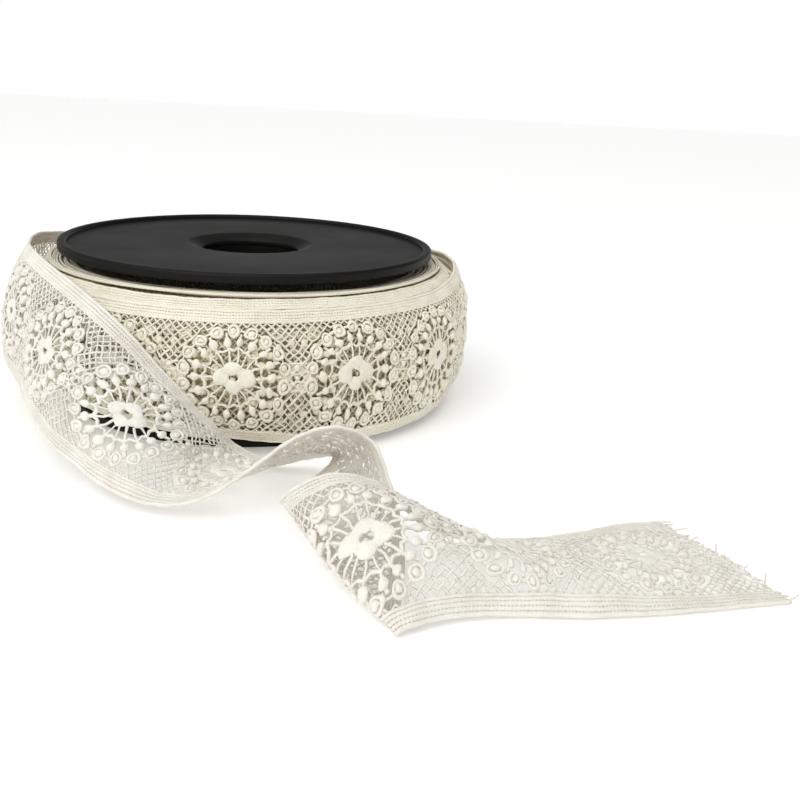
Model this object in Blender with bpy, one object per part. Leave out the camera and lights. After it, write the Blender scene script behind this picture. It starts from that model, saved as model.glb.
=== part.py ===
# Reel of cotton guipure lace: a black moulded reel, the wound lace and its free end.
# Units are metres, +Z is up, and the origin is on the floor under the middle of the whole thing.
import bpy
import bmesh
import math
from mathutils import Vector

for old in list(bpy.data.objects):
    bpy.data.objects.remove(old, do_unlink=True)

MM = 0.001
GAP = 0.3 * MM                   # clearance between pieces that touch

# The reel
FLANGE_RADIUS = 72.5 * MM
REEL_HEIGHT = 60.6 * MM
RIM_THICKNESS = 3.4 * MM         # a flange at its raised rim
RIM_WIDTH = 3.4 * MM
RIM_ROUNDING = 1.1 * MM          # leaves a flat ring, which the reel stands on
DISC_THICKNESS = 2.0 * MM        # a flange inside its rim
WELL_RADIUS = 24.5 * MM          # the dished middle of a flange
BORE_RADIUS = 18.8 * MM
WELL_DEPTH = 2.2 * MM
CORE_RADIUS = 26.0 * MM
REEL_STEPS = 64

# The lace, a band 45 mm wide
LACE_THICKNESS = 1.2 * MM
ROLL_STEPS = 84
SHEET_STEPS_PER_ROW = 3
SHEET_STEPS_ACROSS = 8

# Soft waves where the turns were wound tighter or looser, outside this radius
UNEVEN_FROM_RADIUS = 80.0 * MM
WINDING_WAVES = [
    # height in mm, waves round the roll, start in radians
    (0.35, 3, 0.6),
    (0.20, 7, 0.0),
]

# Outline of the wound lace, from the core's foot outwards and back to its head.
# radius is the distance from the axis, height is above the floor, both in mm
ROLL_OUTLINE = [
    # radius, height
    (26.3, 4.2),
    (69.0, 4.2),
    (75.0, 5.8),
    (80.0, 8.5),
    (84.0, 12.5),
    (87.0, 18.0),
    (88.3, 25.0),
    (88.5, 32.0),
    (87.6, 39.0),
    (85.2, 45.5),
    (81.5, 50.5),
    (77.0, 53.5),
    (71.0, 55.6),
    (62.0, 56.6),
    (26.3, 56.6),
]

# The free end of the lace, one row for each place across it, from where it leaves the roll
# behind to its cut end. Every row names a point on the upper and on the lower edge, and how
# far the lace bulges near each of them, all in mm from the foot of the reel's axis.
FREE_END = [
    # upper x, y, z      lower x, y, z      bulge low, up
    ((-42, 72.5, 52), (-42, 72.5, 8), 9, 9),
    ((-53, 65.5, 52), (-53, 65.5, 8), 9, 9),
    ((-63, 57, 53), (-63, 57, 9), 9, 9),
    ((-77, 35, 56), (-80, 37, 11), 6, 6),
    ((-82, 12, 59), (-91, 12, 15), 5, 5),
    ((-81, -8, 60), (-93, -9, 17), 5, 5),
    ((-77, -27, 60), (-89, -28, 17), 5, 5),
    ((-68, -45, 58), (-80, -48, 15), 5, 5),
    ((-58, -60, 55), (-72, -70, 13), 5, 5),
    ((-47, -73, 50), (-62, -90, 10), 7, 6),
    ((-37, -82, 43), (-52, -102, 7), 10, 10),
    ((-26, -87, 31), (-45, -110, 5), 13, 12),
    ((-15, -88, 18), (-37, -118, 4), 12, 11),
    ((-6, -86, 8), (-28, -124, 4), 6, 5),
    ((2, -87, 3), (-16, -129, 7), 2, 2),
    ((10, -90, 2), (-3, -132, 16), 0, 0),
    ((17, -92, 4), (10, -134, 27), 0, 0),
    ((23, -94, 6), (22, -138, 33), 0, 0),
    ((26, -97, 7), (33, -138, 28), 0, 0),
    ((24, -103, 6), (37, -145, 19), 0, 0),
    ((18, -111, 5), (39, -155, 11), 0, 0),
    ((13, -122, 6), (38, -167, 5), 0, 0),
    ((9, -134, 9), (35, -179, 1), 0, 0),
    ((8, -145, 16), (33, -188, 1), 2, 2),
    ((12, -151, 22), (35, -188, 2), 5, 5),
    ((20, -151, 25), (43, -185, 2), 9, 8),
    ((28, -151, 24), (53, -183, 1.5), 10, 7),
    ((36, -150, 19), (63, -183, 1), 10, 6),
    ((45, -148, 9), (72, -184, 1), 13, 6),
    ((59, -145, 2), (80, -185, 1), 14, 5),
    ((74, -145, 1), (88, -185, 1), 13, 7),
    ((89, -143, 1), (98, -185, 1), 9, 5),
    ((105, -140, 2), (113, -184, 1), 4, 3),
    ((120, -138, 2), (136, -182, 1), 1, 1),
]


def material(name, colour, roughness, metallic=0.0):
    mat = bpy.data.materials.new(name)
    mat.use_nodes = True
    shader = mat.node_tree.nodes["Principled BSDF"]
    shader.inputs["Base Color"].default_value = (*colour, 1.0)
    shader.inputs["Roughness"].default_value = roughness
    shader.inputs["Metallic"].default_value = metallic
    return mat


def add_object(name, bm, mat, smooth_angle=35.0):
    mesh = bpy.data.meshes.new(name)
    bm.to_mesh(mesh)
    bm.free()
    mesh.materials.append(mat)
    mesh.shade_smooth()
    mesh.set_sharp_from_angle(angle=math.radians(smooth_angle))
    obj = bpy.data.objects.new(name, mesh)
    bpy.context.collection.objects.link(obj)
    return obj


def arc(centre_r, centre_z, radius, start, end, steps):
    """Points of a round stretch of a turned outline, angles in degrees."""
    points = []
    for i in range(steps + 1):
        a = math.radians(start + (end - start) * i / steps)
        points.append((centre_r + radius * math.cos(a), centre_z + radius * math.sin(a)))
    return points


def turned(name, outline, steps, mat, radius_change=None):
    """A ring turned about the reel's axis from a closed outline of (radius, height)."""
    bm = bmesh.new()
    rings = []
    for i in range(steps):
        angle = 2.0 * math.pi * i / steps
        ring = []
        for radius, height in outline:
            r = radius + (radius_change(angle, radius) if radius_change else 0.0)
            ring.append(bm.verts.new((r * math.cos(angle), r * math.sin(angle), height)))
        rings.append(ring)
    for i in range(steps):
        here, there = rings[i], rings[(i + 1) % steps]
        for j in range(len(outline)):
            k = (j + 1) % len(outline)
            bm.faces.new((here[j], there[j], there[k], here[k]))
    bmesh.ops.recalc_face_normals(bm, faces=bm.faces)
    return add_object(name, bm, mat)


def flange_outline():
    """Lower flange, outer face down: rounded rim, flat disc, dished well round the bore."""
    recess = RIM_THICKNESS - DISC_THICKNESS
    rim_inside = FLANGE_RADIUS - RIM_WIDTH
    return [
        (BORE_RADIUS, recess + WELL_DEPTH),
        (WELL_RADIUS, recess),
        (rim_inside, recess),
        *arc(rim_inside + RIM_ROUNDING, RIM_ROUNDING, RIM_ROUNDING, 180, 270, 3),
        *arc(FLANGE_RADIUS - RIM_ROUNDING, RIM_ROUNDING, RIM_ROUNDING, 270, 360, 3),
        (FLANGE_RADIUS, RIM_THICKNESS),
        (CORE_RADIUS, RIM_THICKNESS),
        (CORE_RADIUS, RIM_THICKNESS + WELL_DEPTH),
        (BORE_RADIUS, RIM_THICKNESS + WELL_DEPTH),
    ]


def spline(rows, steps):
    """Points on a smooth curve through rows of numbers, Catmull and Rom's."""
    out = []
    count = len(rows)
    for i in range(count - 1):
        p0, p1, p2, p3 = (rows[min(max(k, 0), count - 1)] for k in (i - 1, i, i + 1, i + 2))
        for s in range(steps):
            t = s / steps
            out.append([
                0.5 * (2 * b + (c - a) * t + (2 * a - 5 * b + 4 * c - d) * t ** 2
                       + (3 * b - a - 3 * c + d) * t ** 3)
                for a, b, c, d in zip(p0, p1, p2, p3)
            ])
    out.append(list(rows[-1]))
    return out


def free_end_grid():
    """Points of the sheet's middle: a bowed line from the lower to the upper edge in each row."""
    flat = [(*up, *low, bulge_low, bulge_up) for up, low, bulge_low, bulge_up in FREE_END]
    stations = spline(flat, SHEET_STEPS_PER_ROW)
    uppers = [Vector(s[0:3]) * MM for s in stations]
    lowers = [Vector(s[3:6]) * MM for s in stations]
    grid = []
    for i, station in enumerate(stations):
        before, after = max(i - 1, 0), min(i + 1, len(stations) - 1)
        along = (uppers[after] + lowers[after]) - (uppers[before] + lowers[before])
        across = uppers[i] - lowers[i]
        out = along.cross(across).normalized()
        first = lowers[i] + across / 3.0 + out * station[6] * MM
        second = lowers[i] + across * 2.0 / 3.0 + out * station[7] * MM
        row = []
        for j in range(SHEET_STEPS_ACROSS + 1):
            t = j / SHEET_STEPS_ACROSS
            point = (lowers[i] * (1 - t) ** 3 + first * 3 * t * (1 - t) ** 2
                     + second * 3 * t ** 2 * (1 - t) + uppers[i] * t ** 3)
            point.z = max(point.z, LACE_THICKNESS / 2.0)
            row.append(point)
        grid.append(row)
    return grid


def sheet(name, grid, thickness, mat):
    bm = bmesh.new()
    verts = [[bm.verts.new(p) for p in row] for row in grid]
    for i in range(len(grid) - 1):
        for j in range(len(grid[0]) - 1):
            bm.faces.new((verts[i][j], verts[i + 1][j], verts[i + 1][j + 1], verts[i][j + 1]))
    obj = add_object(name, bm, mat)
    solid = obj.modifiers.new("thickness", 'SOLIDIFY')
    solid.thickness = thickness
    solid.offset = 0.0
    return obj


def wound_unevenness(angle, radius):
    if radius < UNEVEN_FROM_RADIUS:
        return 0.0
    return sum(height * MM * math.sin(waves * angle + start)
               for height, waves, start in WINDING_WAVES)


def stand_on_middle(objects):
    """Moves finished objects so that the middle of the box round them lies over the origin."""
    graph = bpy.context.evaluated_depsgraph_get()
    points = [v.co for obj in objects for v in obj.evaluated_get(graph).data.vertices]
    middle_x = (min(p.x for p in points) + max(p.x for p in points)) / 2.0
    middle_y = (min(p.y for p in points) + max(p.y for p in points)) / 2.0
    for obj in objects:
        obj.location = (-middle_x, -middle_y, 0.0)


black_plastic = material("black polystyrene", (0.021, 0.021, 0.020), 0.42)
cream_cotton = material("cream cotton lace", (0.76, 0.70, 0.58), 0.85)
pale_cotton = material("pale cotton lace", (0.78, 0.73, 0.66), 0.85)

lower = flange_outline()
upper = [(r, REEL_HEIGHT - z) for r, z in lower]
core_foot = RIM_THICKNESS + WELL_DEPTH + GAP
core = [
    (BORE_RADIUS, core_foot),
    (CORE_RADIUS, core_foot),
    (CORE_RADIUS, REEL_HEIGHT - core_foot),
    (BORE_RADIUS, REEL_HEIGHT - core_foot),
]
roll = [(r * MM, z * MM) for r, z in ROLL_OUTLINE]

stand_on_middle([
    turned("reel_lower_flange", lower, REEL_STEPS, black_plastic),
    turned("reel_upper_flange", upper, REEL_STEPS, black_plastic),
    turned("reel_core", core, REEL_STEPS, black_plastic),
    turned("wound_lace", roll, ROLL_STEPS, cream_cotton, wound_unevenness),
    sheet("free_end", free_end_grid(), LACE_THICKNESS, pale_cotton),
])
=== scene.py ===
# Spool of lace ribbon: cotton lace 45 mm wide, wound on a black moulded reel. Its free end
# comes off the roll behind, hangs round the left side and lies folded on the table in front.
import bpy
import math
import numpy as np
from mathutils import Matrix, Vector


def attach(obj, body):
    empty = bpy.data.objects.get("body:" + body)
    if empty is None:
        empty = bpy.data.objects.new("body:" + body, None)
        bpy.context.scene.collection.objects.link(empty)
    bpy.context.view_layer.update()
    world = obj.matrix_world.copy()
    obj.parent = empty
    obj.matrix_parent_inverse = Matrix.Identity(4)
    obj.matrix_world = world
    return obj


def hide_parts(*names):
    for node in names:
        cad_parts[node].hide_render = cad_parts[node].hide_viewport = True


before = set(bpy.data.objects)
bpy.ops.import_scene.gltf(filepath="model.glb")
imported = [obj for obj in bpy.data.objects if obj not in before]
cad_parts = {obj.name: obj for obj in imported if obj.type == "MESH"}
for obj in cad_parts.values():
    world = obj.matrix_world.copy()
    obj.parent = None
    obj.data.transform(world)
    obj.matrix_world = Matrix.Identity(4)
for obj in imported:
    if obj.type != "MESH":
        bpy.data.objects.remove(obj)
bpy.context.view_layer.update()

# Upper flange of the reel: a disc of black polystyrene, injection moulded, with a raised
# rounded rim and a dished middle round the bore. It is pressed on the core's head.
AXIS = Vector((-0.021073, 0.050589, 0.0))
REEL_HEIGHT = 0.0606
FLANGE_RADIUS = 0.0725
RIM_WIDTH, RIM_THICKNESS, RIM_STEP = 0.0034, 0.0034, 0.0014
CORE_RADIUS, WELL_RADIUS, BORE_RADIUS, WELL_DEPTH = 0.026, 0.0245, 0.0188, 0.0022


def colour(text):
    """Linear colour of an sRGB hex value."""
    parts = [int(text[i:i + 2], 16) / 255.0 for i in (1, 3, 5)]
    return (*(p / 12.92 if p <= 0.04045 else ((p + 0.055) / 1.055) ** 2.4 for p in parts), 1.0)


def add_node(mat, kind, links=None, **settings):
    """Adds a node: settings set it, links joins sockets to it or gives their values."""
    node = mat.node_tree.nodes.new(kind)
    for name, value in settings.items():
        setattr(node, name, value)
    for socket, value in (links or {}).items():
        if isinstance(value, bpy.types.NodeSocket):
            mat.node_tree.links.new(value, node.inputs[socket])
        else:
            node.inputs[socket].default_value = value
    return node


def new_material(name):
    mat = bpy.data.materials.new(name)
    mat.use_nodes = True
    return mat, mat.node_tree.nodes["Principled BSDF"]


def start_editing(obj, mode):
    bpy.ops.object.select_all(action="DESELECT")
    bpy.context.view_layer.objects.active = obj
    obj.select_set(True)
    bpy.ops.object.mode_set(mode="EDIT")
    bpy.ops.mesh.select_mode(type=mode)
    bpy.ops.mesh.select_all(action="DESELECT")
    bpy.ops.object.mode_set(mode="OBJECT")


def finish_editing(obj, angle):
    """Rounds the shading below an angle in degrees and leaves the piece at the origin."""
    bpy.ops.object.mode_set(mode="OBJECT")
    bpy.ops.object.select_all(action="DESELECT")
    bpy.context.view_layer.objects.active = obj
    obj.select_set(True)
    bpy.ops.object.transform_apply(location=True, rotation=True, scale=True)
    bpy.ops.object.shade_smooth_by_angle(angle=math.radians(angle))


def select_cap(obj, height):
    """Selects the round face at this height and goes into edit mode."""
    start_editing(obj, "FACE")
    for face in obj.data.polygons:
        level = abs(face.normal.z) > 0.9
        face.select = level and abs((obj.matrix_world @ face.center).z - height) < 1e-5
    bpy.ops.object.mode_set(mode="EDIT")


# Black high-impact polystyrene from a polished mould: satin, with faint flow marks and dust,
# so the light on it is soft and slightly uneven.
black_plastic, shader = new_material("moulded black polystyrene")
place = add_node(black_plastic, "ShaderNodeTexCoord").outputs["Object"]
cloudy = add_node(black_plastic, "ShaderNodeTexNoise", {"Vector": place, "Scale": 45.0, "Detail": 3.0})
grain = add_node(black_plastic, "ShaderNodeTexNoise", {"Vector": place, "Scale": 1400.0, "Detail": 2.0})
gloss = add_node(black_plastic, "ShaderNodeMapRange",
                 {"Value": cloudy.outputs["Fac"], "To Min": 0.4, "To Max": 0.54})
tone = add_node(black_plastic, "ShaderNodeValToRGB", {"Fac": cloudy.outputs["Fac"]})
tone.color_ramp.elements[0].color = colour("#0e0e0c")
tone.color_ramp.elements[1].color = colour("#161614")
skin = add_node(black_plastic, "ShaderNodeBump",
                {"Height": grain.outputs["Fac"], "Strength": 0.12, "Distance": 0.0002})
black_plastic.node_tree.links.new(tone.outputs["Color"], shader.inputs["Base Color"])
black_plastic.node_tree.links.new(gloss.outputs["Result"], shader.inputs["Roughness"])
black_plastic.node_tree.links.new(skin.outputs["Normal"], shader.inputs["Normal"])
shader.inputs["Specular IOR Level"].default_value = 0.15

bpy.ops.object.select_all(action="DESELECT")
middle = REEL_HEIGHT - RIM_THICKNESS / 2
bpy.ops.mesh.primitive_cylinder_add(
    vertices=192, radius=FLANGE_RADIUS, depth=RIM_THICKNESS, location=(AXIS.x, AXIS.y, middle))
upper_flange = bpy.context.object
upper_flange.name = "flange_upper"
select_cap(upper_flange, REEL_HEIGHT)
bpy.ops.mesh.inset(thickness=RIM_WIDTH, depth=0.0)
bpy.ops.mesh.extrude_region_move(TRANSFORM_OT_translate={"value": (0, 0, -RIM_STEP)})
bpy.ops.mesh.inset(thickness=0.0145, depth=0.0)
bpy.ops.mesh.inset(thickness=FLANGE_RADIUS - RIM_WIDTH - 0.0145 - WELL_RADIUS, depth=0.0)
bpy.ops.mesh.inset(thickness=WELL_RADIUS - BORE_RADIUS, depth=-WELL_DEPTH)
bpy.ops.object.mode_set(mode="OBJECT")
select_cap(upper_flange, REEL_HEIGHT - RIM_THICKNESS)
bpy.ops.mesh.inset(thickness=FLANGE_RADIUS - CORE_RADIUS, depth=0.0)
bpy.ops.mesh.extrude_region_move(TRANSFORM_OT_translate={"value": (0, 0, -WELL_DEPTH)})
bpy.ops.mesh.inset(thickness=CORE_RADIUS - BORE_RADIUS, depth=0.0)
bpy.ops.object.mode_set(mode="OBJECT")
for face in upper_flange.data.polygons:
    face.select = len(face.vertices) > 4
bpy.ops.object.mode_set(mode="EDIT")
bpy.ops.mesh.bridge_edge_loops()
bpy.ops.object.mode_set(mode="OBJECT")
start_editing(upper_flange, "EDGE")
for edge in upper_flange.data.edges:
    ends = [upper_flange.data.vertices[i].co for i in edge.vertices]
    radii = [math.hypot(p.x, p.y) for p in ends]
    heights = [p.z + middle for p in ends]
    level = abs(heights[0] - heights[1]) < 1e-6 and abs(radii[0] - radii[1]) < 1e-5
    on_rim = radii[0] > FLANGE_RADIUS - RIM_WIDTH - 1e-4 and heights[0] > REEL_HEIGHT - 1e-5
    edge.select = level and on_rim
bpy.ops.object.mode_set(mode="EDIT")
bpy.ops.mesh.bevel(offset=0.0011, segments=5, profile=0.5)
bpy.ops.object.mode_set(mode="OBJECT")
start_editing(upper_flange, "EDGE")
for edge in upper_flange.data.edges:
    ends = [upper_flange.data.vertices[i].co for i in edge.vertices]
    radii = [math.hypot(p.x, p.y) for p in ends]
    heights = [p.z + middle for p in ends]
    level = abs(heights[0] - heights[1]) < 1e-6 and abs(radii[0] - radii[1]) < 1e-5
    at_well = abs(radii[0] - WELL_RADIUS) < 1e-4 or abs(radii[0] - BORE_RADIUS) < 1e-4
    at_foot = abs(radii[0] - FLANGE_RADIUS) < 1e-4 and heights[0] < REEL_HEIGHT - RIM_THICKNESS + 1e-5
    edge.select = level and (at_well or at_foot)
bpy.ops.object.mode_set(mode="EDIT")
bpy.ops.mesh.bevel(offset=0.0005, segments=3, profile=0.5)
finish_editing(upper_flange, 40)
upper_flange.data.materials.append(black_plastic)

# Lower flange: the same moulding turned over, with its rim on the table. The lace hangs
# over it, so that only its edge shows. Both are tagged once the copy is made.
bpy.ops.object.select_all(action="DESELECT")
upper_flange.select_set(True)
bpy.context.view_layer.objects.active = upper_flange
bpy.ops.object.duplicate()
lower_flange = bpy.context.object
lower_flange.name = "flange_lower"
turn_about = (AXIS.x, AXIS.y, REEL_HEIGHT / 2)
bpy.ops.transform.rotate(
    value=math.pi, orient_axis="X", orient_type="GLOBAL", center_override=turn_about)
finish_editing(lower_flange, 40)
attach(upper_flange, "root")
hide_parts("reel_upper_flange")
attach(lower_flange, "root")
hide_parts("reel_lower_flange")

# Core of the reel: a tube of the same black polystyrene between the flanges, which the
# lace is wound on. Only the wall of its bore shows, through the hole in the flange.
CORE_FOOT = RIM_THICKNESS + WELL_DEPTH + 0.0003
bpy.ops.object.select_all(action="DESELECT")
bpy.ops.mesh.primitive_cylinder_add(
    vertices=128, radius=CORE_RADIUS, depth=REEL_HEIGHT - 2 * CORE_FOOT,
    location=(AXIS.x, AXIS.y, REEL_HEIGHT / 2))
core = bpy.context.object
core.name = "core_tube"
for end in (CORE_FOOT, REEL_HEIGHT - CORE_FOOT):
    select_cap(core, end)
    bpy.ops.mesh.inset(thickness=CORE_RADIUS - BORE_RADIUS, depth=0.0)
    bpy.ops.object.mode_set(mode="OBJECT")
for face in core.data.polygons:
    face.select = len(face.vertices) > 4
bpy.ops.object.mode_set(mode="EDIT")
bpy.ops.mesh.bridge_edge_loops()
finish_editing(core, 40)
core.data.materials.append(black_plastic)
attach(core, "root")
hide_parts("reel_core")

# Inner turns of lace on the roll: dozens of turns lie on each other, so they are made as one
# body. Their edges stand over the shoulders as cords side by side.
REPEAT, BAND = 41.0, 45.0          # mm: length of one medallion's pattern, width of the lace
OUTER_LOW, OUTER_HIGH = 21.5, 66.5  # mm along the outline, where the outer turn's edges lie
ROLL_OUTLINE = [
    # mm: radius, height
    (62.0, 4.2), (69.0, 4.2), (75.0, 5.8), (80.0, 8.5), (84.0, 12.5), (87.0, 18.0), (88.3, 25.0),
    (88.5, 32.0), (87.6, 39.0), (85.2, 45.5), (81.5, 50.5), (77.0, 53.5), (71.0, 55.6), (62.0, 56.6),
]


def lengths(points):
    steps = np.linalg.norm(np.diff(points, axis=0), axis=1)
    return np.concatenate([[0.0], np.cumsum(steps)])


def spline(rows, steps):
    """Points on a smooth curve through rows of numbers, Catmull and Rom's."""
    rows = np.asarray(rows, float)
    last = len(rows) - 1
    out = []
    for i in range(last):
        a, b, c, d = (rows[min(max(k, 0), last)] for k in (i - 1, i, i + 1, i + 2))
        for t in np.arange(steps) / steps:
            out.append(0.5 * (2 * b + (c - a) * t + (2 * a - 5 * b + 4 * c - d) * t ** 2
                              + (3 * b - a - 3 * c + d) * t ** 3))
    out.append(rows[-1])
    return np.array(out)


outline = spline(ROLL_OUTLINE, 8)
outline_length = lengths(outline)
facing = np.gradient(outline, axis=0)
facing = np.stack([facing[:, 1], -facing[:, 0]], axis=1)
facing /= np.linalg.norm(facing, axis=1, keepdims=True)


def on_roll(angle, along, out, loose=0.0):
    """Points in mm from the reel's foot: angle in degrees from the front towards the right,
    along the roll's outline from below, and out from its surface. A loose turn sags below and
    its upper edge stands off as a lip on the right."""
    radius = np.interp(along, outline_length, outline[:, 0])
    height = np.interp(along, outline_length, outline[:, 1])
    out_r = np.interp(along, outline_length, facing[:, 0])
    out_z = np.interp(along, outline_length, facing[:, 1])
    turn = np.radians(angle - 90.0)
    way_round = np.mod(angle + 180.0, 360.0) - 180.0
    right_side = np.clip((way_round + 8.0) / 30.0, 0.0, 1.0)
    right_side = right_side * np.clip((150.0 - way_round) / 40.0, 0.0, 1.0)
    front = np.clip((way_round + 45.0) / 35.0, 0.0, 1.0)
    front = front * np.clip((170.0 - way_round) / 40.0, 0.0, 1.0)
    sag = loose * (3.0 * front + 4.2 * right_side * right_side * (3.0 - 2.0 * right_side))
    below = np.clip((34.0 - height) / 24.0, 0.0, 1.0) * np.clip((radius - 66.0) / 8.0, 0.0, 1.0)
    height = height - sag * below
    lip = np.clip(1.0 - np.abs((way_round - 98.0) / 48.0), 0.0, 1.0)
    lip = loose * lip * lip * (3.0 - 2.0 * lip) * np.clip((along - 46.0) / 18.0, 0.0, 1.0) ** 1.5
    radius, height = radius + 2.2 * lip, height + 3.6 * lip
    waves = 0.35 * np.sin(3 * turn + 0.6) + 0.2 * np.sin(7 * turn)
    radius = radius + out_r * out + waves * np.clip((radius - 77.0) / 5.0, 0, 1)
    return np.stack([radius * np.cos(turn), radius * np.sin(turn), height + out_z * out], axis=-1)


def to_frame(points):
    return points * 0.001 + np.array([AXIS.x, AXIS.y, 0.0])


shaded_lace, shader = new_material("shaded cotton lace of the inner turns")
# The turns below show only as a warm net behind the outer turn's gaps, painted on a smooth body.
# Its khaki tone is painted shade: darker than the lace's own cream, and darkest in the painted
# gaps between the threads.
flat_uv = add_node(shaded_lace, "ShaderNodeUVMap", uv_map="lace").outputs["UV"]
slanted = add_node(shaded_lace, "ShaderNodeMapping",
                   {"Vector": flat_uv, "Rotation": (0.0, 0.0, 0.785)})
NET_SCALE = REPEAT / 1.93 * 0.314
waves = [
    add_node(shaded_lace, "ShaderNodeTexWave",
             {"Vector": slanted.outputs["Vector"], "Scale": NET_SCALE, "Distortion": 2.2, "Detail": 1.0},
             wave_type="BANDS", bands_direction=direction)
    for direction in ("X", "Y")]
net = add_node(shaded_lace, "ShaderNodeMath",
               {0: waves[0].outputs["Fac"], 1: waves[1].outputs["Fac"]}, operation="MAXIMUM")
patches = add_node(shaded_lace, "ShaderNodeTexNoise", {"Vector": flat_uv, "Scale": 9.0, "Detail": 3.0})
covered = add_node(shaded_lace, "ShaderNodeMath",
                   {0: net.outputs[0], 1: patches.outputs["Fac"]}, operation="ADD")
threads_or_shaded_gaps = add_node(shaded_lace, "ShaderNodeMapRange",
                           {"Value": covered.outputs[0], "From Min": 0.95, "From Max": 1.45})
tone = add_node(shaded_lace, "ShaderNodeMix",
                {"Factor": threads_or_shaded_gaps.outputs["Result"]}, data_type="RGBA")
tone.inputs["A"].default_value = colour("#aba177")
tone.inputs["B"].default_value = colour("#ddd4b5")
knobbly = add_node(shaded_lace, "ShaderNodeBump",
                   {"Height": covered.outputs[0], "Strength": 0.9, "Distance": 0.0006})
shaded_lace.node_tree.links.new(tone.outputs["Result"], shader.inputs["Base Color"])
shaded_lace.node_tree.links.new(knobbly.outputs["Normal"], shader.inputs["Normal"])
shader.inputs["Roughness"].default_value = 0.95
shader.inputs["Specular IOR Level"].default_value = 0.2

STEPS = 168
angles = np.linspace(-180.0, 180.0, STEPS, endpoint=False)


def level_ring(radius, height):
    turn = np.radians(angles - 90.0)
    return np.stack([radius * np.cos(turn), radius * np.sin(turn), np.full(STEPS, height)], axis=-1)


body_rows = [(0.0, level_ring(26.6, 8.0)), (0.1, level_ring(60.0, 6.0))]
for along in np.arange(9.0, 72.1, 1.5):
    body_rows.append((along, on_roll(angles, np.full(STEPS, along), -2.4)))
SHOULDER = [
    # mm: along the outline, radius, height
    (73.5, 74.6, 52.8), (76.0, 72.0, 52.2), (81.0, 66.0, 51.6), (120.0, 26.6, 51.4),
]
for along, radius, height in SHOULDER:
    body_rows.append((along, level_ring(radius, height)))
points = to_frame(np.concatenate([row for a, row in body_rows]))
faces = []
for j in range(len(body_rows)):
    k = (j + 1) % len(body_rows)
    for i in range(STEPS):
        n = (i + 1) % STEPS
        faces.append((j * STEPS + i, j * STEPS + n, k * STEPS + n, k * STEPS + i))
body_mesh = bpy.data.meshes.new("wound_lace_body")
body_mesh.from_pydata(points.tolist(), [], faces)
roll_body = bpy.data.objects.new("wound_lace_body", body_mesh)
bpy.context.collection.objects.link(roll_body)
places = np.zeros((len(points), 2))
places[:, 0] = np.tile(angles / 27.0, len(body_rows))
places[:, 1] = np.repeat([a / REPEAT for a, row in body_rows], STEPS)
loops = np.empty(len(body_mesh.loops), int)
body_mesh.loops.foreach_get("vertex_index", loops)
body_mesh.uv_layers.new(name="lace").data.foreach_set("uv", places[loops].ravel())
body_mesh.materials.append(shaded_lace)
start_editing(roll_body, "FACE")
bpy.ops.object.mode_set(mode="EDIT")
bpy.ops.mesh.select_all(action="SELECT")
bpy.ops.mesh.normals_make_consistent(inside=False)
finish_editing(roll_body, 60)
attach(roll_body, "root")
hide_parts("wound_lace")

# The lace's pattern: a round medallion every 41 mm between two header bands, modelled once,
# flat, in mm: x along the band, y across it, z up from the right side.
bpy.ops.object.select_all(action="DESELECT")


def taken(obj):
    """The corners and faces of a shaped object, which is then removed. They come in an order
    of their own places, so that every run gives the same mesh."""
    corners = np.array([obj.matrix_world @ v.co for v in obj.data.vertices])
    order = np.lexsort(np.round(corners, 5).T)
    rank = np.argsort(order).tolist()
    faces = []
    for face in obj.data.polygons:
        around = [rank[i] for i in face.vertices]
        start = around.index(min(around))
        faces.append(tuple(around[start:] + around[:start]))
    bpy.data.objects.remove(obj, do_unlink=True)
    return corners[order], sorted(faces)


def threads(paths, radius, closed=False, sides=1):
    """Round threads along paths of points, a bevelled curve made mesh."""
    curve = bpy.data.curves.new("thread", "CURVE")
    curve.dimensions = "3D"
    curve.bevel_depth = radius
    curve.bevel_resolution = sides
    curve.use_fill_caps = not closed
    for path in paths:
        line = curve.splines.new("POLY")
        line.points.add(len(path) - 1)
        for point, place in zip(line.points, path):
            point.co = (*place, 1.0)
        line.use_cyclic_u = closed
    obj = bpy.data.objects.new("thread", curve)
    bpy.context.collection.objects.link(obj)
    bpy.ops.object.select_all(action="DESELECT")
    bpy.context.view_layer.objects.active = obj
    obj.select_set(True)
    bpy.ops.object.convert(target="MESH")
    return taken(bpy.context.object)


def placed(shape, turn, move, stretch=(1.0, 1.0, 1.0)):
    """A copy of a shape: stretched, turned in the lace's plane by degrees, and moved."""
    corners, faces = shape
    c, s = math.cos(math.radians(turn)), math.sin(math.radians(turn))
    corners = corners * np.array(stretch)
    corners = corners @ np.array([[c, s, 0], [-s, c, 0], [0, 0, 1]]) + np.array(move)
    return corners, faces


def ellipse(angle, along, across):
    return along * math.cos(math.radians(angle)), across * math.sin(math.radians(angle))


def ring_of(count, start, along, across):
    """Places round the medallion: the turn outwards in degrees, and the middle."""
    for i in range(count):
        angle = start + 360.0 * i / count
        x, y = ellipse(angle, along, across)
        yield math.degrees(math.atan2(y, x)), (x, y, 0.0)


MEDALLION, NETTING = [], []
MIDDLE = BAND / 2

# flower in the middle: four broad satin-stitched petals round an oblong hole
bpy.ops.mesh.primitive_uv_sphere_add(segments=14, ring_count=8, radius=1.0)
petal = taken(bpy.context.object)
for turn, place in ring_of(2, 0.0, 4.15, 0.0):
    MEDALLION.append(placed(petal, turn, (*place[:2], 0.25), (2.65, 2.65, 0.6)))
for turn, place in ring_of(2, 90.0, 0.0, 2.85):
    MEDALLION.append(placed(petal, turn, (*place[:2], 0.3), (2.05, 2.8, 0.6)))
for turn, place in ring_of(4, 45.0, 3.3, 2.5):
    MEDALLION.append(placed(petal, turn, (*place[:2], 0.15), (1.5, 1.5, 0.5)))

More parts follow.
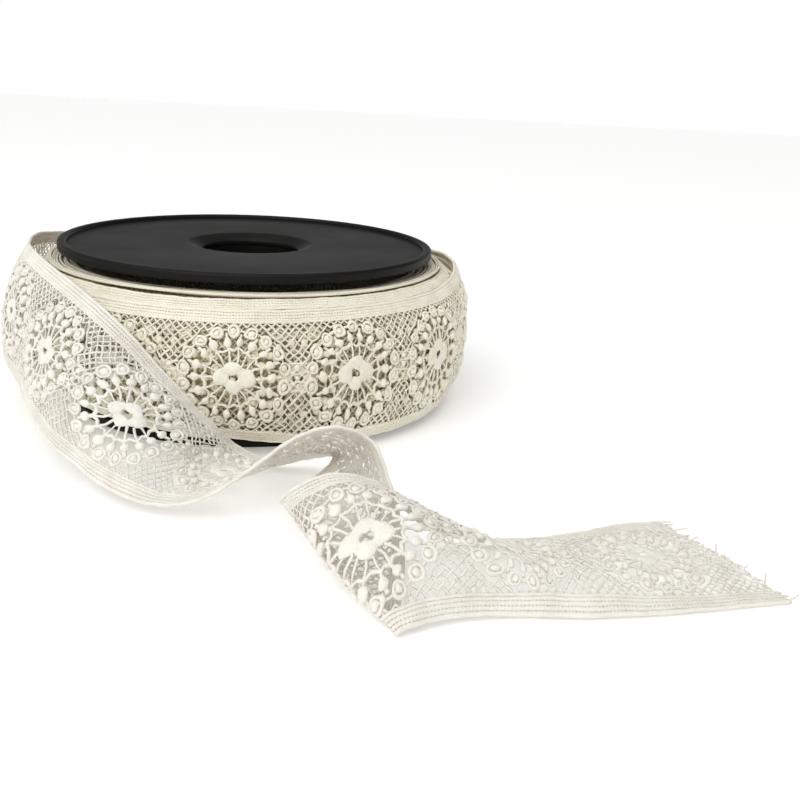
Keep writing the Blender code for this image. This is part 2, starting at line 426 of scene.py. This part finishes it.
# spokes out to a thin ring of thread in arches
spokes = [[(*ellipse(a, 5.0, 4.2), 0.0), (*ellipse(a, 7.2, 6.7), 0.15), (*ellipse(a, 9.6, 9.2), 0.1)]
          for a in np.arange(18) * 20.0]
MEDALLION.append(threads(spokes, 0.34))
arches = []
for a in np.arange(108) * 360.0 / 108:
    wave = 0.4 * math.cos(math.radians(18 * a))
    arches.append((*ellipse(a, 9.2 + wave, 8.8 + wave), 0.15))
MEDALLION.append(threads([arches], 0.46, closed=True))

# balls of wound thread on short stems
bpy.ops.mesh.primitive_uv_sphere_add(segments=10, ring_count=7, radius=1.0)
ball = taken(bpy.context.object)
for turn, place in ring_of(18, 0.0, 12.1, 11.4):
    MEDALLION.append(placed(ball, turn, (*place[:2], 0.4), (1.5, 1.3, 1.0)))
stems = [[(*ellipse(a, 9.4, 9.0), 0.1), (*ellipse(a, 12.2, 11.5), 0.1), (*ellipse(a, 15.0, 14.0), 0.0)]
         for a in np.arange(18) * 20.0]
MEDALLION.append(threads(stems, 0.5))

# outer rings with a knot in each, joined by a thread that runs through them all
bpy.ops.mesh.primitive_torus_add(major_radius=1.62, minor_radius=0.5, major_segments=16, minor_segments=6)
ring = taken(bpy.context.object)
bpy.ops.mesh.primitive_uv_sphere_add(segments=8, ring_count=6, radius=1.0)
knot = taken(bpy.context.object)
for turn, place in ring_of(18, 10.0, 16.3, 14.9):
    MEDALLION.append(placed(ring, turn, (*place[:2], 0.2), (1.04, 1.04, 0.9)))
    MEDALLION.append(placed(knot, turn, (place[0] * 0.99, place[1] * 0.99, 0.15), (1.15, 1.1, 0.75)))
joining = [(*ellipse(a, 16.6, 15.2), -0.1) for a in np.arange(54) * 360.0 / 54]
MEDALLION.append(threads([joining], 0.4, closed=True))

# threads that tie a medallion to the next one
for y in (-4.2, -1.4, 1.4, 4.2):
    for x in (-REPEAT / 2, REPEAT / 2):
        ends = [(x * 0.87, y, 0.0), (x, y * 0.9, 0.1)]
        MEDALLION.append(threads([ends], 0.36))
for y in (-2.8, 0.0, 2.8):
    MEDALLION.append(placed(knot, 0.0, (REPEAT / 2, y, 0.1), (0.9, 0.9, 0.7)))
MEDALLION = [(corners + np.array([0.0, MIDDLE, 0.0]), faces) for corners, faces in MEDALLION]

# slanting net between the medallions, two threads crossing over and under
PITCH = REPEAT / 15
net_paths = []
for slope in (1, -1):
    for line in range(-33, 34):
        path = []
        for step in range(0, 28):
            y = 4.5 + step * PITCH / 2
            x = line * PITCH + slope * (y - 4.5)
            inside = math.hypot(x / 17.6, (y - MIDDLE) / 16.2) > 1.0
            if abs(x) <= REPEAT / 2 + 0.1 and inside:
                over = 0.17 if (step % 2 == 0) == (slope > 0) else -0.17
                path.append((x, y, over))
            else:
                if len(path) > 1:
                    net_paths.append(path)
                path = []
        if len(path) > 1:
            net_paths.append(path)
NETTING.append(threads(net_paths, 0.33, sides=0))

# header bands: a corded edge, then rows of small holes between flat woven strips
for low, side in ((0.0, 1.0), (BAND, -1.0)):
    def across(y):
        return low + side * y
    cord_points = [(x, across(0.55), 0.0) for x in np.arange(79) * REPEAT / 78 - REPEAT / 2]
    corners, faces = threads([cord_points], 0.56, sides=2)
    swell = 1.0 + 0.12 * np.sin(2 * math.pi * corners[:, 0] * 39 / REPEAT)
    corners[:, 1] = across(0.55) + (corners[:, 1] - across(0.55)) * swell
    corners[:, 2] *= swell
    NETTING.append((corners, faces))
    inner = [(x, across(4.7), 0.05) for x in np.arange(61) * REPEAT / 60 - REPEAT / 2]
    NETTING.append(threads([inner], 0.43))
    for y, half in ((1.7, 0.51), (2.8, 0.51), (3.82, 0.47)):
        strip = [(x, across(y), 0.0) for x in np.arange(46) * REPEAT / 45 - REPEAT / 2]
        corners, faces = threads([strip], half, sides=1)
        corners[:, 2] *= 0.6
        NETTING.append((corners, faces))
    ties = [[(x, across(0.6), 0.0), (x + 0.1, across(2.3), 0.1), (x, across(4.6), 0.0)]
            for x in (np.arange(39) + 0.5) * REPEAT / 39 - REPEAT / 2]
    NETTING.append(threads(ties, 0.28, sides=0))


def flat_strip(shapes, first, count):
    """Copies of the pattern side by side, as the lace lies before it is wound or draped."""
    corners, faces, total = [], [], 0
    for k in range(first, first + count):
        for part, part_faces in shapes:
            corners.append(part + np.array([k * REPEAT, 0.0, 0.0]))
            faces += [tuple(i + total for i in face) for face in part_faces]
            total += len(part)
    return np.concatenate(corners), faces


def handmade(flat):
    """The thread's own unevenness: the pattern drifts by some tenths of a millimetre, and the
    thread is a little thicker and thinner from stitch to stitch."""
    x, y, z = flat.T
    drift_x = 0.28 * np.sin(0.61 * x + 0.43 * y) + 0.2 * np.sin(1.37 * x - 0.83 * y + 1.0)
    drift_y = 0.24 * np.sin(0.53 * x - 0.71 * y + 2.0) + 0.18 * np.sin(1.19 * x + 1.03 * y)
    drift_z = 0.22 * np.sin(0.33 * x + 0.29 * y + 0.5) + 0.14 * np.sin(1.01 * x - 0.57 * y)
    from_edge = np.minimum(y, BAND - y)
    inner = 0.12 + 0.88 * np.clip((from_edge - 4.6) / 4.0, 0.0, 1.0)
    stitch = 0.3 + 0.7 * inner
    knobs = [0.08 * stitch * np.sin(7.3 * x + a * y + 5.1 * z + b)
             for a, b in ((8.9, 0.0), (-6.7, 1.1), (4.3, 2.3))]
    x = x + drift_x * inner + knobs[0]
    y = y + drift_y * inner + knobs[1]
    z = z + drift_z * (0.4 + 0.6 * inner) + knobs[2]
    return np.stack([x, y, z], axis=1)


def lace_piece(name, flat, faces, corners, mat):
    """A mesh of lace with its corners in place, which keeps the flat place as its UV map."""
    mesh = bpy.data.meshes.new(name)
    mesh.from_pydata(to_frame(corners).tolist(), [], faces)
    loops = np.empty(len(mesh.loops), int)
    mesh.loops.foreach_get("vertex_index", loops)
    mesh.uv_layers.new(name="lace").data.foreach_set("uv", (flat[loops, :2] / REPEAT).ravel())
    # Painted shade: this factor comes from the thread's height, and the material paints the low hollows
    # darker by it.
    relief_shade = np.clip(0.85 + 0.35 * flat[:, 2], 0.4, 1.3)
    mesh.attributes.new("relief_shade", "FLOAT", "POINT").data.foreach_set("value", relief_shade)
    mesh.materials.append(mat)
    mesh.shade_smooth()
    obj = bpy.data.objects.new(name, mesh)
    bpy.context.collection.objects.link(obj)
    return obj


# Outer turn on the roll: the lace that shows all round, wound a little proud of the turns
# under it. Fourteen medallions make the turn, and its end goes on as the free end.
JOIN_ANGLE = 226.7         # degrees, where the outer turn's last repeat ends


def bend_round_roll(flat):
    x, y, z = flat.T
    angle = np.interp(x / REPEAT, (-14.0, -6.0, 0.5, 1.0), (-163.1, 49.7, JOIN_ANGLE, 240.3))
    spiral = 0.7 * (angle - 38.0) / 190.0
    return on_roll(angle, OUTER_LOW + y, z - 0.6 + spiral, loose=1.0)


def lace_material(name, light, deep):
    """Cotton lace embroidered on a net that is then dissolved: matt thread with a soft sheen.
    Its colour holds painted shade: brighter on the raised parts and darker and warmer in the
    hollows, read from the thread's height, and varied at random. It needs the pattern's own UVs."""
    mat, shader = new_material(name)
    flat = add_node(mat, "ShaderNodeUVMap", uv_map="lace").outputs["UV"]
    relief_shade = add_node(mat, "ShaderNodeAttribute", attribute_name="relief_shade").outputs["Fac"]
    cloudy = add_node(mat, "ShaderNodeTexNoise", {"Vector": flat, "Scale": REPEAT / 9.0, "Detail": 3.0})
    stitch = add_node(mat, "ShaderNodeTexNoise",
                      {"Vector": flat, "Scale": REPEAT / 0.8, "Detail": 3.0, "Roughness": 0.65})
    shade = add_node(mat, "ShaderNodeMath", {0: relief_shade, 1: cloudy.outputs["Fac"]}, operation="MULTIPLY")
    speckle = add_node(mat, "ShaderNodeMath",
                       {0: stitch.outputs["Fac"], 1: 0.5, 2: shade.outputs[0]}, operation="MULTIPLY_ADD")
    blend = add_node(mat, "ShaderNodeMapRange",
                     {"Value": speckle.outputs[0], "From Min": 0.25, "From Max": 0.85})
    tone = add_node(mat, "ShaderNodeMix", {"Factor": blend.outputs["Result"]}, data_type="RGBA")
    tone.inputs["A"].default_value = colour(deep)
    tone.inputs["B"].default_value = colour(light)
    bump = add_node(mat, "ShaderNodeBump",
                    {"Height": stitch.outputs["Fac"], "Strength": 0.8, "Distance": 0.0004})
    mat.node_tree.links.new(tone.outputs["Result"], shader.inputs["Base Color"])
    mat.node_tree.links.new(bump.outputs["Normal"], shader.inputs["Normal"])
    shader.inputs["Roughness"].default_value = 0.9
    shader.inputs["Specular IOR Level"].default_value = 0.2
    shader.inputs["Sheen Weight"].default_value = 0.3
    shader.inputs["Sheen Roughness"].default_value = 0.5
    return mat


cream_lace = lace_material("cream cotton lace", "#f6f1e1", "#e2dabf")
for name, shapes in (("outer_turn_medallions", MEDALLION), ("outer_turn_net_and_bands", NETTING)):
    flat, faces = flat_strip(shapes, -13, 14)
    piece = lace_piece(name, flat, faces, bend_round_roll(handmade(flat)), cream_lace)
    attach(piece, "root")

# Turn under the outer one: the same lace, part of a medallion further on, so that its rings
# and threads show through the gaps. Only little of it shows, so its threads are plainer.


def bend_under(flat):
    x, y, z = flat.T
    angle = 10.0 + 360.0 / 13 * x / REPEAT
    return on_roll(angle, OUTER_LOW - 0.6 + y, z - 1.7, loose=0.8)


flat, faces = flat_strip(MEDALLION + NETTING, 0, 1)
plain_mesh = bpy.data.meshes.new("plainer_repeat")
plain_mesh.from_pydata(flat.tolist(), [], faces)
plain = bpy.data.objects.new("plainer_repeat", plain_mesh)
bpy.context.collection.objects.link(plain)
thin_out = plain.modifiers.new("plainer", "DECIMATE")
thin_out.ratio = 0.42
bpy.ops.object.select_all(action="DESELECT")
bpy.context.view_layer.objects.active = plain
plain.select_set(True)
bpy.ops.object.modifier_apply(modifier=thin_out.name)
flat, faces = flat_strip([taken(plain)], 0, 13)
# Painted shade: the second turn is the same lace given darker, yellower colours, for the shade it lies in
# under the outer turn.
under_lace = lace_material("shaded cotton lace of the second turn", "#ece5d0", "#cdc3a2")
second_turn = lace_piece("second_turn", flat, faces, bend_under(handmade(flat)), under_lace)
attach(second_turn, "root")

# Edges of the turns below: on the shoulder the header of the next turn lies inside the outer
# one's, and under the flange the edges of the tighter turns show as single shaded cords.
upper_band = [part for part in NETTING if part[0][:, 1].min() > BAND - 6.0]


def bend_inside(flat):
    x, y, z = flat.T
    angle = 4.0 + 360.0 / 13 * x / REPEAT
    wander = 0.25 * np.sin(np.radians(3 * angle)) + 0.15 * np.sin(np.radians(7 * angle + 40))
    return on_roll(angle, OUTER_LOW + 5.1 + y + wander, 0.85 * z - 0.9)


flat, faces = flat_strip(upper_band, 0, 13)
next_header = lace_piece("next_turn_header", flat, faces, bend_inside(handmade(flat)), cream_lace)
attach(next_header, "root")

EDGE_CORDS = [
    # mm: radius, height, how far it wanders, turns of the wander
    (76.0, 54.5, 0.2, 3), (75.2, 54.2, 0.3, 5), (74.3, 53.9, 0.3, 4), (73.4, 53.9, 0.35, 3),
    (72.5, 53.5, 0.3, 5), (71.5, 53.7, 0.35, 2), (70.4, 53.2, 0.3, 3), (69.2, 53.4, 0.35, 4),
    (67.9, 52.9, 0.3, 5), (66.6, 53.1, 0.3, 3),
]
cords = []
for radius, height, wander, count in EDGE_CORDS:
    turn = np.linspace(0.0, 2 * math.pi, 200, endpoint=False)
    r = radius + wander * np.sin(count * turn + radius)
    z = height + wander * np.cos((count + 1) * turn + 2 * radius)
    cords.append(np.stack([r * np.cos(turn), r * np.sin(turn), z], axis=1).tolist())
flat, faces = threads(cords, 0.45, closed=True)
# Painted shade: the cords take the second turn's darker lace colours, for turns that lie deep in shade
# under the flange.
edge_cords = lace_piece("inner_turn_edges", flat, faces, flat, under_lace)
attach(edge_cords, "root")

# Free end: the lace comes off the roll behind, hangs down round the left side, rises in an arch
# and lies folded over in front. It is one strip of thin cloth, held only by its own stiffness.
FREE_END = [
    # mm from the reel's foot: upper edge x, y, z, lower edge x, y, z, bulge low, bulge up
    (-42, 72.5, 52, -42, 72.5, 8, 9, 9),
    (-53, 65.5, 52, -53, 65.5, 8, 9, 9),
    (-63, 57, 53, -63, 57, 9, 9, 9),
    (-77, 35, 56, -80, 37, 11, 6, 6),
    (-82, 12, 59, -91, 12, 15, 5, 5),
    (-81, -8, 60, -93, -9, 17, 5, 5),
    (-77, -27, 60, -89, -28, 17, 5, 5),
    (-68, -45, 58, -80, -48, 15, 5, 5),
    (-58, -60, 55, -72, -70, 13, 5, 5),
    (-47, -73, 50, -62, -90, 10, 7, 6),
    (-37, -82, 43, -52, -102, 7, 10, 10),
    (-26, -87, 31, -45, -110, 5, 13, 12),
    (-15, -88, 18, -37, -118, 4, 12, 11),
    (-6, -86, 8, -28, -124, 4, 6, 5),
    (2, -87, 3, -16, -129, 7, 2, 2),
    (10, -90, 2, -3, -132, 16, 0, 0),
    (17, -92, 4, 10, -134, 27, 0, 0),
    (23, -94, 6, 22, -138, 33, 0, 0),
    (26, -97, 7, 33, -138, 28, 0, 0),
    (24, -103, 6, 37, -145, 19, 0, 0),
    (18, -111, 5, 39, -155, 11, 0, 0),
    (13, -122, 6, 38, -167, 5, 0, 0),
    (9, -134, 9, 35, -179, 1, 0, 0),
    (8, -145, 16, 33, -188, 1, 2, 2),
    (12, -151, 22, 35, -188, 2, 5, 5),
    (20, -151, 25, 43, -185, 2, 9, 8),
    (28, -151, 24, 53, -183, 1.5, 10, 7),
    (36, -150, 19, 63, -183, 1, 10, 6),
    (45, -148, 9, 72, -184, 1, 13, 6),
    (59, -145, 2, 80, -185, 1, 14, 5),
    (74, -145, 1, 88, -185, 1, 13, 7),
    (89, -143, 1, 98, -185, 1, 9, 5),
    (105, -140, 2, 113, -184, 1, 4, 3),
    (120, -138, 2, 136, -182, 1, 1, 1),
    (132, -137, 2, 148, -181, 1, 1, 1),
]
EASE = [
    # row of FREE_END, mm by which the pattern runs ahead of the upper edge, and of the lower edge
    (0, 0, 0), (5, 3, -1), (9, 3.5, 0.5), (11, 3.5, -2.5), (14, 5.5, -0.5), (16, 9, 0.5), (19, 16, 0),
    (22, 19, 2), (25, 23.5, 4.5), (28, 21, 7), (30, 18, 10), (33, 16, 12), (34, 16, 12),
]
FINE = 16
stations = spline(FREE_END, FINE)
upper_edge, lower_edge = stations[:, 0:3], stations[:, 3:6]
across_t = np.linspace(0.0, 1.0, 46)
run = np.gradient(upper_edge + lower_edge, axis=0)
width = upper_edge - lower_edge
outward = np.cross(run, width)
outward /= np.linalg.norm(outward, axis=1, keepdims=True)
first = lower_edge + width / 3 + outward * stations[:, 6:7]
second = lower_edge + width * 2 / 3 + outward * stations[:, 7:8]
t = across_t[None, :, None]
cloth = (lower_edge[:, None] * (1 - t) ** 3 + first[:, None] * 3 * t * (1 - t) ** 2
         + second[:, None] * 3 * t ** 2 * (1 - t) + upper_edge[:, None] * t ** 3)
cloth_facing = np.cross(np.gradient(cloth, axis=0), np.gradient(cloth, axis=1))
cloth_facing /= np.linalg.norm(cloth_facing, axis=2, keepdims=True)
row_number = np.arange(len(stations)) / FINE
soft = np.ones(25) / 25
ahead = [np.interp(row_number, [e[0] for e in EASE], [e[side] for e in EASE]) for side in (1, 2)]
ahead = [np.convolve(np.pad(a, 12, mode="edge"), soft, mode="valid") for a in ahead]
upper_length, lower_length = lengths(upper_edge) + ahead[0], lengths(lower_edge) + ahead[1]
SAMPLES = np.arange(-60.0, 560.0, 0.5)
station_at = np.array([
    np.interp(SAMPLES, lower_length + (upper_length - lower_length) * k, np.arange(len(stations)))
    for k in across_t])


def looked_up(table, i, j):
    """Values of a table between its rows and columns."""
    i = np.clip(i, 0, table.shape[0] - 1.001)
    j = np.clip(j, 0, table.shape[1] - 1.001)
    a, b = i.astype(int), j.astype(int)
    u, v = i - a, j - b
    if table.ndim == 3:
        u, v = u[:, None], v[:, None]
    return (table[a, b] * (1 - u) * (1 - v) + table[a + 1, b] * u * (1 - v)
            + table[a, b + 1] * (1 - u) * v + table[a + 1, b + 1] * u * v)


FREE_START = 25.5      # mm along the free end, where its first repeat joins the outer turn


def drape(flat):
    """Lays flat lace on the free end's surface. Its start still lies on the roll."""
    x, y, z = flat.T
    column = y / BAND * (len(across_t) - 1)
    row = looked_up(station_at, column, (x - SAMPLES[0]) / 0.5)
    point = looked_up(cloth, row, column) + looked_up(cloth_facing, row, column) * z[:, None]
    angle = JOIN_ANGLE - 360.0 + 27.2 * (x - FREE_START) / REPEAT
    wound = on_roll(angle, OUTER_LOW + y, z + 0.1, loose=1.0)
    loose = np.clip((x - FREE_START) / 26.0, 0.0, 1.0)
    loose = (loose * loose * (3 - 2 * loose))[:, None]
    point = wound * (1 - loose) + point * loose
    point[:, 2] = np.maximum(point[:, 2], 0.25)
    return point


pale_lace = lace_material("pale cotton lace", "#f1ede4", "#dad3c5")
CUT = ((470.5, BAND), (489.6, 0.0))    # flat places of the slanting cut on both edges


def cut_off(flat, faces):
    """Cuts the flat lace along the slanting line and closes the ends of its threads."""
    mesh = bpy.data.meshes.new("uncut")
    mesh.from_pydata(flat.tolist(), [], faces)
    obj = bpy.data.objects.new("uncut", mesh)
    bpy.context.collection.objects.link(obj)
    start_editing(obj, "FACE")
    bpy.ops.object.mode_set(mode="EDIT")
    bpy.ops.mesh.select_all(action="SELECT")
    away = Vector((CUT[0][1] - CUT[1][1], CUT[1][0] - CUT[0][0], 0.0)).normalized()
    bpy.ops.mesh.bisect(plane_co=(*CUT[0], 0.0), plane_no=away, use_fill=True, clear_outer=True)
    bpy.ops.object.mode_set(mode="OBJECT")
    return taken(obj)


for name, shapes in (("free_end_medallions", MEDALLION), ("free_end_net_and_bands", NETTING)):
    flat, faces = flat_strip(shapes, 0, 12)
    flat[:, 0] += FREE_START + REPEAT / 2
    flat, faces = cut_off(flat, faces)
    piece = lace_piece(name, flat, faces, drape(handmade(flat)), pale_lace)
    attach(piece, "root")
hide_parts("free_end")

# Loose threads at the cut: ends of the net and the bands that the scissors left, a few of
# them drawn out and curled.
FRAYS = [
    # mm: place across the band, length; degrees: direction from the band's length, bend; mm: lift
    (0.9, 3.5, -8, 30, 0.6), (2.6, 1.5, 15, -40, 0.2), (5.5, 2.0, -38, 10, 0.3),
    (7.4, 4.5, 36, 30, 0.5), (11.0, 1.8, -42, 20, 0.4), (14.5, 2.6, 40, -15, 0.3),
    (19.0, 1.6, -36, 25, 0.2), (23.5, 3.8, 30, 45, 0.8), (27.0, 1.5, -40, -20, 0.3),
    (31.5, 2.4, 42, -25, 0.4), (35.5, 1.8, -35, 30, 0.3), (38.0, 3.6, 24, -35, 0.6),
    (42.2, 2.2, 5, -25, 0.4), (43.8, 3.0, 12, -30, 0.4),
]
frays = []
for y, length, direction, bend, lift in FRAYS:
    x = CUT[1][0] + (CUT[0][0] - CUT[1][0]) * y / BAND - 1.5
    path = [(x, y, 0.0)]
    for step in range(1, 7):
        heading = math.radians(direction + bend * step / 6)
        x += (length + 1.5) / 6 * math.cos(heading)
        y += (length + 1.5) / 6 * math.sin(heading)
        path.append((x, y, lift * step / 6))
    frays.append(path)
flat, faces = threads(frays, 0.24)
loose_threads = lace_piece("loose_threads", flat, faces, drape(flat), pale_lace)
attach(loose_threads, "root")

# Table: white translucent acrylic, lit softly from below as well, so that shadows stay faint.
bpy.ops.object.select_all(action="DESELECT")
bpy.ops.mesh.primitive_plane_add(size=12.0, location=(0, 0, 0))
floor = bpy.context.object
floor.name = "floor"
acrylic, shader = new_material("translucent white acrylic")
shader.inputs["Base Color"].default_value = colour("#f4f4f3")
shader.inputs["Roughness"].default_value = 0.9
shader.inputs["Emission Color"].default_value = colour("#ffffff")
shader.inputs["Emission Strength"].default_value = 0.26
floor.data.materials.append(acrylic)

world = bpy.data.worlds.new("studio tent")
bpy.context.scene.world = world
world.use_nodes = True
sky = world.node_tree.nodes["Background"]
direction = add_node(world, "ShaderNodeTexCoord").outputs["Generated"]
height = add_node(world, "ShaderNodeSeparateXYZ", {"Vector": direction}).outputs["Z"]
tent = add_node(world, "ShaderNodeValToRGB", {"Fac": height})
tent.color_ramp.elements[0].position, tent.color_ramp.elements[0].color = 0.12, colour("#ffffff")
tent.color_ramp.elements[1].position, tent.color_ramp.elements[1].color = 0.26, colour("#757575")
world.node_tree.links.new(tent.outputs["Color"], sky.inputs["Color"])
sky.inputs["Strength"].default_value = 1.0


def soft_light(name, place, aim, size, power):
    lamp = bpy.data.lights.new(name, "AREA")
    lamp.shape, lamp.size, lamp.energy = "SQUARE", size, power
    obj = bpy.data.objects.new(name, lamp)
    bpy.context.collection.objects.link(obj)
    obj.location = place
    obj.rotation_euler = (Vector(aim) - Vector(place)).to_track_quat("-Z", "Y").to_euler()


soft_light("key", (-0.6, -0.9, 1.1), (0, 0, 0), 0.9, 5.0)
daylight = bpy.data.lights.new("soft daylight", "SUN")
daylight.energy, daylight.angle = 2.0, math.radians(90)
sun = bpy.data.objects.new("soft daylight", daylight)
bpy.context.collection.objects.link(sun)
sun.rotation_euler = Vector((0.25, 0.35, -1.0)).to_track_quat("-Z", "Y").to_euler()

# Camera: as the photograph was taken, from the front, 19 degrees above, turned 10 degrees to
# the right and tilted 3 degrees.
looking = Vector((0.16713, 0.93075, -0.32524)).normalized()
level = looking.cross(Vector((0, 0, 1))).normalized()
above = level.cross(looking)
tilt = math.radians(3.27)
right = level * math.cos(tilt) + above * math.sin(tilt)
up = above * math.cos(tilt) - level * math.sin(tilt)
lens = bpy.data.cameras.new("camera")
lens.lens, lens.sensor_width = 39.62, 36.0
camera = bpy.data.objects.new("camera", lens)
bpy.context.collection.objects.link(camera)
matrix = camera.matrix_world.copy()
for row in range(3):
    matrix[row][0], matrix[row][1], matrix[row][2] = right[row], up[row], -looking[row]
matrix[0][3], matrix[1][3], matrix[2][3] = -0.021073, -0.307653, 0.117438
camera.matrix_world = matrix
bpy.context.scene.camera = camera
bpy.context.scene.view_settings.view_transform = "Standard"
